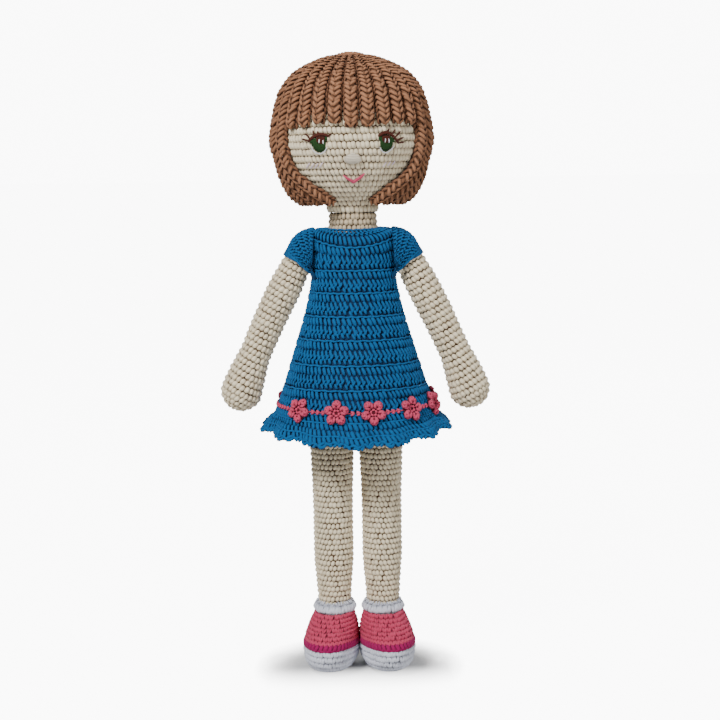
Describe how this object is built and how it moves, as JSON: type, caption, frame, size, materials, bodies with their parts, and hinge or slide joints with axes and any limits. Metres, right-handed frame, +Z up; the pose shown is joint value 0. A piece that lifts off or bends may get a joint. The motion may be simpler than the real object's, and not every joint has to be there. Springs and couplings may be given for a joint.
{
  "type": "crocheted doll",
  "caption": "Standing crocheted doll with a bobbed wig of ribbed locks, a flared dress with a ruffled hem and flower trim, and soft shoes; head, arms and legs turn.",
  "frame": {"origin": "centre of the standing footprint, on the floor under the soles", "axes": "+Z up along the doll's height; the doll faces -Y; +X is the doll's own left"},
  "size_m": [0.1838, 0.1128, 0.4236],
  "materials": {
    "skin_yarn": "cream crochet cotton, matte",
    "hair_yarn": "warm brown crochet cotton, matte",
    "dress_yarn": "blue crochet cotton, slight sheen",
    "pink_yarn": "pink crochet cotton, matte",
    "magenta_yarn": "magenta crochet cotton, matte",
    "white_yarn": "white crochet cotton, matte",
    "eye_thread": "green satin-stitch embroidery thread",
    "mouth_thread": "pink embroidery thread",
    "joint_thread": "strong waxed thread",
    "stuffing": "loose fibre filling",
    "wood": "plain smooth dowel",
    "button": "satin"
  },
  "bodies": {
    "torso": {"torso_skin": "skin_yarn", "torso_stuffing": "stuffing", "neck_dowel": "wood", "shoulder_tie_right": "joint_thread", "shoulder_tie_left": "joint_thread", "dress_bodice": "dress_yarn", "dress_skirt": "dress_yarn", "hem_ruffle": "dress_yarn", "flower_chain": "pink_yarn", "flower_1": "pink_yarn", "flower_2": "pink_yarn", "flower_3": "pink_yarn", "flower_4": "pink_yarn", "flower_5": "pink_yarn", "flower_6": "pink_yarn", "flower_7": "pink_yarn", "flower_8": "pink_yarn", "flower_9": "pink_yarn", "flower_10": "pink_yarn", "flower_11": "pink_yarn"},
    "head": {"head_skin": "skin_yarn", "head_stuffing": "stuffing", "eye_right": "eye_thread", "eye_left": "eye_thread", "nose": "skin_yarn", "mouth": "mouth_thread", "bang_1": "hair_yarn", "bang_2": "hair_yarn", "bang_3": "hair_yarn", "bang_4": "hair_yarn", "bang_5": "hair_yarn", "bang_6": "hair_yarn", "bang_7": "hair_yarn", "bang_8": "hair_yarn", "bang_9": "hair_yarn", "front_lock_right": "hair_yarn", "side_lock_right": "hair_yarn", "front_lock_left": "hair_yarn", "side_lock_left": "hair_yarn", "hair_back": "hair_yarn"},
    "arm_right": {"arm_skin_right": "skin_yarn", "arm_stuffing_right": "stuffing", "arm_button_right": "button", "sleeve_right": "dress_yarn"},
    "arm_left": {"arm_skin_left": "skin_yarn", "arm_stuffing_left": "stuffing", "arm_button_left": "button", "sleeve_left": "dress_yarn"},
    "leg_right": {"leg_skin_right": "skin_yarn", "leg_stuffing_right": "stuffing", "shoe_sole_right": "white_yarn", "shoe_stripe_right": "magenta_yarn", "shoe_upper_right": "pink_yarn", "sock_cuff_right": "white_yarn"},
    "leg_left": {"leg_skin_left": "skin_yarn", "leg_stuffing_left": "stuffing", "shoe_sole_left": "white_yarn", "shoe_stripe_left": "magenta_yarn", "shoe_upper_left": "pink_yarn", "sock_cuff_left": "white_yarn"}
  },
  "joints": [
    {"name": "head_turn", "type": "hinge", "parent": "torso", "child": "head", "pos_m": [0, 0, 0.3162], "axis": [0, 0, 1], "range_deg": [-30, 30]},
    {"name": "shoulder_right", "type": "hinge", "parent": "torso", "child": "arm_right", "pos_m": [-0.0356, 0, 0.288], "axis": [-1, 0, 0], "range_deg": [-40, 110]},
    {"name": "shoulder_left", "type": "hinge", "parent": "torso", "child": "arm_left", "pos_m": [0.0356, 0, 0.288], "axis": [-1, 0, 0], "range_deg": [-40, 110]},
    {"name": "hip_right", "type": "hinge", "parent": "torso", "child": "leg_right", "pos_m": [-0.0169, 0, 0.186], "axis": [-1, 0, 0], "range_deg": [-20, 90], "deforming": ["dress_skirt", "hem_ruffle", "flower_chain", "flower_1", "flower_2", "flower_3", "flower_4", "flower_5", "flower_6", "flower_7", "flower_8", "flower_9", "flower_10", "flower_11"]},
    {"name": "hip_left", "type": "hinge", "parent": "torso", "child": "leg_left", "pos_m": [0.0169, 0, 0.186], "axis": [-1, 0, 0], "range_deg": [-20, 90], "deforming": ["dress_skirt", "hem_ruffle", "flower_chain", "flower_1", "flower_2", "flower_3", "flower_4", "flower_5", "flower_6", "flower_7", "flower_8", "flower_9", "flower_10", "flower_11"]}
  ]
}
